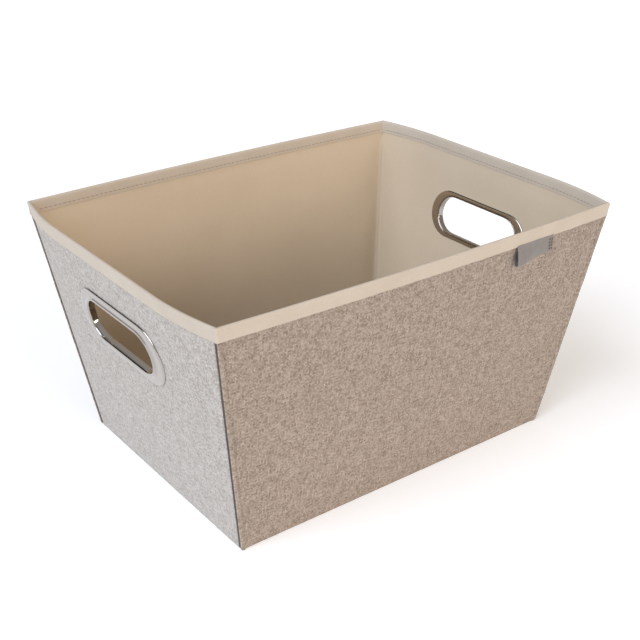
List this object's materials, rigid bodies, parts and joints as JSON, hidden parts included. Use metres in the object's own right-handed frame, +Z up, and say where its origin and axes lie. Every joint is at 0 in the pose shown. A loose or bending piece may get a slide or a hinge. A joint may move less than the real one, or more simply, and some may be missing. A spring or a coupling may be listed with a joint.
{
  "type": "fabric storage bin",
  "caption": "Open-topped storage bin of woven cloth over boards, wider at the rim, with chrome-ringed hand holds in the short walls, a taped rim and a loose covered bottom board.",
  "frame": {"origin": "middle of the underside, on the surface the bin stands on", "axes": "+X along the long front wall to the right, +Y from the front wall to the back wall, +Z up; the front wall, which carries the ribbon tag, faces -Y"},
  "size_m": [0.412, 0.3113, 0.218],
  "materials": {
    "outer_cloth": "coarse heather basket weave",
    "binding_tape": "plain beige tape, matt",
    "lining_cloth": "smooth non-woven lining, matt",
    "wall_board": "grey-brown chipboard, raw",
    "ring_metal": "polished",
    "label_ribbon": "grey satin ribbon",
    "sewing_thread": "polyester thread"
  },
  "bodies": {
    "bin": {"outer_base_panel": "outer_cloth", "outer_front_panel": "outer_cloth", "outer_back_panel": "outer_cloth", "outer_left_panel": "outer_cloth", "outer_right_panel": "outer_cloth", "front_board": "wall_board", "back_board": "wall_board", "left_board": "wall_board", "right_board": "wall_board", "lining_base": "lining_cloth", "lining_front": "lining_cloth", "lining_back": "lining_cloth", "lining_left": "lining_cloth", "lining_right": "lining_cloth", "welt_front_left": "outer_cloth", "welt_front_right": "outer_cloth", "welt_back_left": "outer_cloth", "welt_back_right": "outer_cloth", "rim_binding": "binding_tape", "rim_topstitch": "sewing_thread", "handle_bezel_left": "ring_metal", "handle_bezel_right": "ring_metal", "handle_retainer_left": "ring_metal", "handle_retainer_right": "ring_metal", "side_label": "label_ribbon", "label_stitches": "sewing_thread"},
    "base_insert": {"base_insert_board": "wall_board", "base_insert_cover": "lining_cloth"}
  },
  "joints": [
    {"name": "base_insert_lift", "type": "slide", "parent": "bin", "child": "base_insert", "axis": [0, 0, 1], "range_m": [0, 0.215]}
  ]
}
